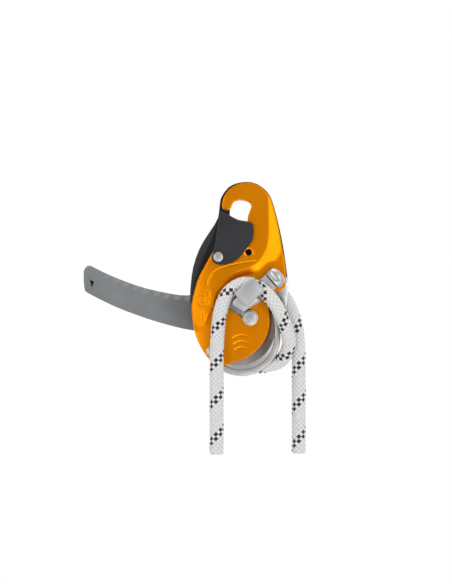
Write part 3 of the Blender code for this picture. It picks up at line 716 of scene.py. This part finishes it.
# %% How deep each point of the plate's front goes
RIGHT_SLOPE, LOW_SLOPE = 0.25, 0.32   # of the strip on the right, and of the wall over the cam
SLOPE_CHANGE = (-52 * MM, -42 * MM)   # the heights between which one slope goes over to the other
FOLD_R = 0.5 * MM                     # softness of the fold
DEEPEST = RELIEF - 0.6 * MM           # no part of the upper field goes deeper
CREASE_Z = -87 * MM                   # a cross crease on the left side
CREASE_SLOPE = 0.13                   # of the field below it
LEFT_START = -17 * MM                 # where the left side starts to round off
LEFT_BEND = 7.6                       # its curvature, 1/m
MARK_DEPTH, MARK_R = 0.34 * MM, 0.42 * MM    # how deep a groove is, and how far from its line it fades


def mark_depth(places):
    """Depth of the marks' grooves, a smooth dip along each line."""
    near = np.min([np.abs(beyond(places, line)) for line in MARK_LINES], axis=0)
    return MARK_DEPTH * np.exp(-(near / MARK_R) ** 2)


def field_depth(places):
    """Depth of the upper field's fold and crease."""
    x, z = places[:, 0], places[:, 1]
    past = beyond(places, FOLD_LINE)
    slope = np.interp(z, SLOPE_CHANGE, (LOW_SLOPE, RIGHT_SLOPE))
    fold = slope * (past + np.sqrt(past ** 2 + FOLD_R ** 2)) / 2
    low = CREASE_SLOPE * np.maximum(0, CREASE_Z - z) * (x < LEFT_START)
    return np.minimum(fold + low, DEEPEST - side_depth(places))


def side_depth(places):
    """Depth of the rounded left side."""
    return LEFT_BEND / 2 * np.maximum(0, LEFT_START - places[:, 0]) ** 2


print("the left edge lies", round(float(side_depth(np.array([[PLATE_LOW.x, 0]]))[0]) * 1000, 2), "mm back")


# %% [markdown]
# A flat face has no points in its middle to move, so it needs a grid first. Subdividing would follow the
# outline and give long thin cells. Bisecting at even steps gives square ones whatever the outline, and
# the cells near the fold and the marks are then divided again, so that only those places are dense.


# %% Cutting the grid
GRID = 1.5 * MM                       # the grid's cells
FINE_REACH = 1.6 * MM                 # how near to a fold or a mark the cells are made finer


def cut_grid(piece, low, high):
    """Cut a piece into square cells in the front view."""
    select_only(piece)
    bpy.ops.object.mode_set(mode="EDIT")
    for axis in (0, 2):
        normal = [0, 0, 0]
        normal[axis] = 1
        for step in range(1, int((high[axis] - low[axis]) / GRID)):
            place = [0, 0, 0]
            place[axis] = low[axis] + step * GRID
            bpy.ops.mesh.select_all(action="SELECT")
            bpy.ops.mesh.bisect(plane_co=place, plane_no=normal)
    bpy.ops.object.mode_set(mode="OBJECT")


def refine(piece, lines):
    """Divide the front faces near the lines again."""
    select_only(piece)
    bpy.ops.object.mode_set(mode="EDIT")
    bpy.ops.mesh.select_mode(type="FACE")
    bpy.ops.mesh.select_all(action="DESELECT")
    mesh = bmesh.from_edit_mesh(piece.data)
    faces = [f for f in mesh.faces if f.normal.y < -0.9]
    places = np.array([f.calc_center_median() for f in faces])[:, [0, 2]]
    near = np.min([np.abs(beyond(places, line)) for line in lines], axis=0) < FINE_REACH
    for face, chosen in zip(faces, near):
        face.select_set(bool(chosen))
    bmesh.update_edit_mesh(piece.data)
    bpy.ops.mesh.subdivide(number_cuts=2)
    bpy.ops.object.mode_set(mode="OBJECT")


print("cells of", round(GRID * 1000, 2), "mm, finer within", round(FINE_REACH * 1000, 2), "mm of a line")


# %% [markdown]
# The press moves every point back by the depth at its place. Points on the wall between the two fields
# move by a share of it, so the wall stays a wall, and the marks only touch the two front fields.


# %% Moving its points
def press(piece):
    """Move the points of the pressed field back by its depth, and all front points by the marks'."""
    mesh = piece.data
    co = np.empty(len(mesh.vertices) * 3)
    mesh.vertices.foreach_get("co", co)
    co = co.reshape(-1, 3)
    places, depth = co[:, [0, 2]], co[:, 1].copy()
    share = np.clip((FIELD - depth) / RELIEF, 0, 1)
    front = (share > 0.95) | (np.abs(depth - FIELD) < 0.02 * MM)
    rounded = np.clip((PLATE_BACK - depth) / (PLATE_BACK - FIELD), 0, 1)
    co[:, 1] += share * field_depth(places) + front * mark_depth(places) + rounded * side_depth(places)
    mesh.vertices.foreach_set("co", co.ravel())
    mesh.update()


# %% [markdown]
# Now the orange plate itself: the rim of its step is rounded as the press leaves it, then comes the grid,
# then the press. A cone cut round the small stop hole gives its shallow countersink, which shows as a
# bright ring.


# %% Moving side plate
STOP_HOLE = (5.1 * MM, -40.6 * MM)
SINK_R, SINK_TIP_R, SINK_DEPTH = 7.2 * MM, 1.7 * MM, 2.4 * MM    # the cone that countersinks it
STEP_BEVEL_FROM = (-24 * MM, -45 * MM)                            # the step is rounded right of and below


def make_side_plate():
    plate = copy_of_node("moving_side_plate", "side_plate_pressed")
    left, upper = STEP_BEVEL_FROM
    top = bevel_edges(plate, lambda e, m, a: all(v.co.y < FIELD - 0.4 * MM for v in e.verts)
                      and a > 50 and m.z < upper and m.x > left, 1.2 * MM, 3)
    foot = bevel_edges(plate, lambda e, m, a: all(abs(v.co.y - FIELD) < 0.05 * MM for v in e.verts)
                       and a < -50, 0.6 * MM, 2)
    print("edges on the step's top", top, "and foot", foot)
    soften(plate, 0.5 * MM, 3, 30)
    cut_grid(plate, PLATE_LOW, PLATE_HIGH)
    refine(plate, [FOLD_LINE, *MARK_LINES])
    press(plate)
    bpy.ops.object.select_all(action="DESELECT")
    bpy.ops.mesh.primitive_cone_add(vertices=48, radius1=SINK_R, radius2=SINK_TIP_R, depth=SINK_DEPTH,
                                    location=(STOP_HOLE[0], PLATE_FRONT - 0.4 * MM, STOP_HOLE[1]),
                                    rotation=(math.radians(-90), 0, 0))
    sink = bpy.context.object
    settle(sink)
    cut_with(plate, sink)
    smooth_by_angle(plate, 40)
    dress(plate, ORANGE, "side_plate", "orange_anodised", "moving_side_plate")
    print("side plate", len(plate.data.polygons), "faces")


make_side_plate()


# %% [markdown]
# The black fixed plate is punched and tumbled, and the rear cover and the gate are moulded. Their shapes
# are the frame's own, so they could stay as they are, but an edge without any rounding catches no light
# and looks false. Each takes the rounding that its process leaves, and the cover's is the widest.


# %% Fixed plate, rear cover and gate
def make_fixed_side():
    plate = copy_of_node("fixed_side_plate", "fixed_plate_cut")
    soften(plate, 0.5 * MM, 2)
    dress(plate, BLACK, "root", "black_anodised", "fixed_side_plate")
    cover = copy_of_node("rear_cover", "rear_cover_moulded")
    soften(cover, 0.7 * MM, 3, 25)
    dress(cover, COVER_PLASTIC, "root", "cover_plastic", "rear_cover")
    gate = copy_of_node("safety_gate", "gate_moulded")
    soften(gate, 0.5 * MM, 3, 25)
    dress(gate, GATE_PLASTIC, "gate", "gate_plastic", "safety_gate")
    rivet = copy_of_node("gate_rivet", "gate_rivet_domed")
    soften(rivet, 0.4 * MM, 3)
    dress(rivet, TURNED_STEEL, "side_plate", "steel", "gate_rivet")
    for piece in (plate, cover, gate, rivet):
        print(piece.name, len(piece.data.polygons), "faces")


make_fixed_side()


# %% [markdown]
# The cam is cast steel. Its front flange has a shallow bowl, off the axle's centre, and the bowl is painted
# darker than the ring round it, as painted shade. Two materials on picked faces would need an edge exactly
# there. One material that measures each place's distance from the bowl's middle draws the same line
# whatever the mesh is.


# %% Steel of the cam
RECESS = (-3.4 * MM, -100.2 * MM)     # middle of the bowl in the cam's front flange
RECESS_R = 29.7 * MM
RECESS_PROFILE = [(0, 1.35), (21.5, 1.35), (24.5, 1.25), (26.8, 0.95), (28.5, 0.5), (29.7, 0), (30.2, -0.5),
                  (0, -0.5)]          # radius and depth under the flange's face


def steel_with_painted_bowl_shade():
    """A plain steel rim round a bowl painted dark and a little brown, as painted shade and reflection."""
    material = stainless("drum steel with painted bowl shade", 0.62, 0.36, 2200)
    shader = shader_of(material)
    rim = shader.inputs["Base Color"].links[0].from_socket
    place = node(material, "ShaderNodeTexCoord").outputs["Object"]
    offset = node(material, "ShaderNodeVectorMath", operation="SUBTRACT")
    offset.inputs[1].default_value = (RECESS[0], 0, RECESS[1])
    flat = node(material, "ShaderNodeVectorMath", operation="MULTIPLY")
    flat.inputs[1].default_value = (1, 0, 1)
    reach = node(material, "ShaderNodeVectorMath", operation="LENGTH")
    link(material, place, offset.inputs[0])
    link(material, offset.outputs["Vector"], flat.inputs[0])
    link(material, flat.outputs["Vector"], reach.inputs[0])
    # Inside this circle the colour is painted shade, darker than the rim.
    inside = spread(material, reach.outputs["Value"], 1, 0, RECESS_R - 0.2 * MM, RECESS_R + 0.1 * MM)
    # The bowl is painted: light below as a painted reflection of the lights, and dark brown on the right as
    # painted shade and a painted reflection of the orange plate.
    parts = node(material, "ShaderNodeSeparateXYZ")
    link(material, place, parts.inputs[0])
    painted_shade_right = spread(material, parts.outputs["X"], 0, 1, 2 * MM, 19 * MM)
    bowl = tint(material, painted_shade_right, (0.44, 0.42, 0.40), (0.15, 0.12, 0.10))
    color = node(material, "ShaderNodeMix", data_type="RGBA")
    link(material, inside, color.inputs[0])
    link(material, rim, color.inputs[6])
    link(material, bowl, color.inputs[7])
    link(material, color.outputs[2], shader.inputs["Base Color"])
    return material


print("the bowl is", round(2 * RECESS_R * 1000, 1), "mm wide")


# %% [markdown]
# The bowl is a round form, so its cutter is turned on the lathe from a half profile that eases into the
# flange, and cut out of the cam. The axle's head and the pivot's are rounded as turned heads are.


# %% Cam, axle and pivot
def make_cam():
    cam = copy_of_node("cam", "cam_cast")
    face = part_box("cam")[0].y
    cut_with(cam, lathe("bowl", [(r * MM, face + depth * MM) for r, depth in RECESS_PROFILE], RECESS, 96))
    soften(cam, 0.3 * MM, 2)
    dress(cam, steel_with_painted_bowl_shade(), "cam", "cast_stainless", "cam")
    for name in ("cam_axle", "side_plate_pivot"):
        piece = copy_of_node(name, name + "_turned")
        soften(piece, 0.5 * MM, 3)
        dress(piece, TURNED_STEEL, "root", "steel", name)
    print("cam", len(cam.data.polygons), "faces")


make_cam()


# %% [markdown]
# The friction bracket is forged: a bar with a post that the rope bends round and a cap that keeps it
# there. The bar ends in a flattened button with an oval pocket. Sculpting a button would be slow and
# uneven, so it is turned as a round form, squashed to the bar's thickness, and turned along the bar. A
# stretched ball cuts the pocket.


# %% Friction bracket
HEAD_PROFILE = [(0, 19.3), (7.3, 19.3), (7.9, 19.6), (8.2, 20.4), (8.2, 23.6), (7.9, 25.1), (7.1, 26.6),
                (5.8, 27.7), (4.0, 28.4), (2.0, 28.7), (0, 28.8)]
BAR_MIDDLE = (8.7 * MM, -75.3 * MM)
BAR_TURN = math.radians(40)           # how much the bar points up to the right
POCKET = (2.2 * MM, 1.7 * MM, 5.9 * MM)    # the pocket's half sizes: along the bar, deep, across
POCKET_ALONG, POCKET_UP = 22.8 * MM, MM    # where it is, from the bar's middle


def along_bar(along, up):
    """The place in the front view that is so far along the bar and up from its middle."""
    return (BAR_MIDDLE[0] + along * math.cos(BAR_TURN) - up * math.sin(BAR_TURN),
            BAR_MIDDLE[1] + along * math.sin(BAR_TURN) + up * math.cos(BAR_TURN))


def make_pocket(front):
    bpy.ops.object.select_all(action="DESELECT")
    bpy.ops.mesh.primitive_uv_sphere_add(segments=40, ring_count=20, radius=1)
    pocket = bpy.context.object
    pocket.scale = POCKET
    settle(pocket)
    pocket.rotation_euler = (0, -BAR_TURN, 0)
    x, z = along_bar(POCKET_ALONG, POCKET_UP)
    pocket.location = (x, front + 0.3 * MM, z)
    settle(pocket)
    return pocket


def make_bracket():
    bracket = copy_of_node("friction_bracket", "bracket_forged")
    soften(bracket, 0.6 * MM, 3)
    dress(bracket, CAST_STEEL, "side_plate", "cast_stainless", "friction_bracket")
    low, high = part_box("bracket_head")
    head = lathe("bracket_button", [(r * MM, along * MM) for r, along in HEAD_PROFILE], (0, 0))
    # The lathe's axis is Y: turn it to point along the bar, flatten it and put it in its place.
    head.rotation_euler = (0, 0, math.radians(-90))
    settle(head)
    widest = 2 * max(r for r, along in HEAD_PROFILE)
    head.scale = (1, (high.y - low.y) / (widest * MM), 1)
    settle(head)
    head.rotation_euler = (0, -BAR_TURN, 0)
    head.location = (BAR_MIDDLE[0], (low.y + high.y) / 2, BAR_MIDDLE[1])
    settle(head)
    cut_with(head, make_pocket(low.y))
    smooth_by_angle(head, 35)
    dress(head, CAST_STEEL, "side_plate", "cast_stainless", "bracket_head")
    print("bracket's head", len(head.data.polygons), "faces")


make_bracket()

# %% [markdown]
# The anti-error catch is a stamped wedge behind the rope's way in, which stops a rope that is put in the
# wrong way round. It is small and flat, so the frame's shape with its edges rounded is enough.

# %% Anti-error catch
catch = copy_of_node("anti_error_catch", "catch_stamped")
soften(catch, 0.3 * MM, 2)
dress(catch, TURNED_STEEL, "catch", "steel", "anti_error_catch")
print("catch", len(catch.data.polygons), "faces")


# %% [markdown]
# The handle is one long moulding. Its front top corner is a rounded band with finger scallops across it
# at even steps. The band is a wide bevel on the edges of that corner alone, which a rule finds above the
# arm's middle line. A modelled scallop would be hard to repeat along a bend, so a cylinder lying across
# the corner cuts each one, placed along a line through the grip.


# %% Where the handle's scallops go
GRIP = [(-107.7, -56.6), (-92.0, -63.3), (-74.7, -69.2), (-55.8, -73.3), (-44.0, -74.6)]


def grip_middle(x):
    """Height of the arm's middle line at x, which parts its top edge from its bottom edge."""
    return np.interp(x, [-124 * MM, -60 * MM, -12 * MM], [-62 * MM, -86 * MM, -78 * MM])


def cylinder(radius, length, name):
    """A cylinder along Y about the origin."""
    bpy.ops.object.select_all(action="DESELECT")
    bpy.ops.mesh.primitive_cylinder_add(vertices=40, radius=radius, depth=length,
                                        rotation=(math.radians(90), 0, 0))
    piece = bpy.context.object
    piece.name = name
    settle(piece)
    return piece


BAND = 3.4 * MM                       # width of the rounded band
SCALLOP_STEP = 8.6 * MM
SCALLOP_R, SCALLOP_LENGTH = 7.0 * MM, 18 * MM
SCALLOP_OUT = 3.9 * MM                # how far a cutter's axis stands off the corner
GRIP_LINE = even(np.array([(x, 0, z) for x, z in smooth(GRIP, 8)]) * MM, SCALLOP_STEP)[0]
print("finger scallops", len(GRIP_LINE))


# %% [markdown]
# Each cutter's direction comes from the line: up is square to the line there, and the cutter's axis is
# tilted half way between up and forward, because the corner faces both ways.


# %% Handle
def make_handle():
    lever = copy_of_node("handle_lever", "handle_moulded")
    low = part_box("handle_lever")[0]
    bevel_edges(lever, lambda e, m, a: all(v.co.y < low.y + 0.1 * MM for v in e.verts)
                and a > 50 and m.x < -12 * MM and m.z > grip_middle(m.x), BAND, 3)
    last = len(GRIP_LINE) - 1
    for i, place in enumerate(GRIP_LINE):
        after, before = GRIP_LINE[min(i + 1, last)], GRIP_LINE[max(i - 1, 0)]
        along = Vector(after - before).normalized()
        up = Vector((-along.z, 0, along.x))
        if up.z < 0:
            up = -up
        out = (up + Vector((0, -1, 0))).normalized()
        across = (up + Vector((0, 1, 0))).normalized()
        scallop = cylinder(SCALLOP_R, SCALLOP_LENGTH, "scallop")
        scallop.rotation_euler = across.to_track_quat("Y", "Z").to_euler()
        scallop.location = Vector((place[0], low.y, place[2])) + out * SCALLOP_OUT
        settle(scallop)
        cut_with(lever, scallop)
    soften(lever, 1.1 * MM, 3, 20)
    dress(lever, HANDLE_PLASTIC, "handle", "handle_plastic", "handle_lever")
    screw = copy_of_node("handle_screw", "handle_screw_turned")
    soften(screw, 0.4 * MM, 2)
    dress(screw, TURNED_STEEL, "handle", "steel", "handle_screw")
    print("handle", len(lever.data.polygons), "faces")


make_handle()

# %% [markdown]
# Metal shows its surroundings, so the studio is made for what the flat faces reflect. The room is white
# behind the object and dimmer in front, which keeps the faces deep in colour. Large soft lights stand on
# both sides, low on the right and above, and make the bright edges.


# %% Lights
def area_light(name, place, target, width, power, height):
    bpy.ops.object.light_add(type="AREA", location=place)
    light = bpy.context.object
    light.name = name
    light.data.shape = "RECTANGLE"
    light.data.size = width
    light.data.size_y = height
    light.data.energy = power
    light.rotation_euler = (Vector(target) - Vector(place)).to_track_quat("-Z", "Y").to_euler()
    print(name, power, "W")


def make_world():
    world = bpy.data.worlds.new("studio")
    world.use_nodes = True
    tree = world.node_tree
    background = tree.nodes["Background"]
    place = tree.nodes.new("ShaderNodeTexCoord")
    parts = tree.nodes.new("ShaderNodeSeparateXYZ")
    fade = tree.nodes.new("ShaderNodeMapRange")
    fade.interpolation_type = "SMOOTHSTEP"
    for socket, value in (("From Min", -0.9), ("From Max", 0.5), ("To Min", 0.36), ("To Max", 1.0)):
        fade.inputs[socket].default_value = value
    tree.links.new(place.outputs["Generated"], parts.inputs[0])
    tree.links.new(parts.outputs["Y"], fade.inputs["Value"])
    tree.links.new(fade.outputs["Result"], background.inputs["Strength"])
    background.inputs["Color"].default_value = (1, 1, 1, 1)
    bpy.context.scene.world = world


make_world()
MIDDLE = (0, 0, -0.09)                # what the lights point at
area_light("right softbox", (0.85, -1.45, 0.15), MIDDLE, 0.7, 6.5, 1.3)
area_light("low right softbox", (0.45, -1.4, -0.85), MIDDLE, 0.9, 4, 0.6)
area_light("left softbox", (-0.72, -1.55, -0.05), MIDDLE, 0.35, 3.2, 1.2)
area_light("left edge strip", (-1.3, -0.45, 0.1), MIDDLE, 0.4, 2, 1.2)
area_light("top softbox", (-0.05, -0.2, 0.95), MIDDLE, 0.9, 3, 0.6)


# %% [markdown]
# A round sheet of pale paper lies far below, out of the front view. It gives the undersides something to
# reflect, which an empty world wouldn't.


# %% Floor
def make_floor():
    bpy.ops.object.select_all(action="DESELECT")
    bpy.ops.mesh.primitive_circle_add(vertices=64, radius=4, fill_type="NGON", location=(0, 0, -1.2))
    floor = bpy.context.object
    floor.name = "pale_floor"
    settle(floor)
    paper = new_material("pale paper", (0.80, 0.80, 0.80), 0.9)
    grain = noise(paper, 6, 2)
    color = tint(paper, grain, (0.79, 0.79, 0.79), (0.82, 0.82, 0.82))
    link(paper, color, shader_of(paper).inputs["Base Color"])
    floor.data.materials.append(paper)
    print("floor at", round(floor.data.vertices[0].co.z, 2), "m")


make_floor()
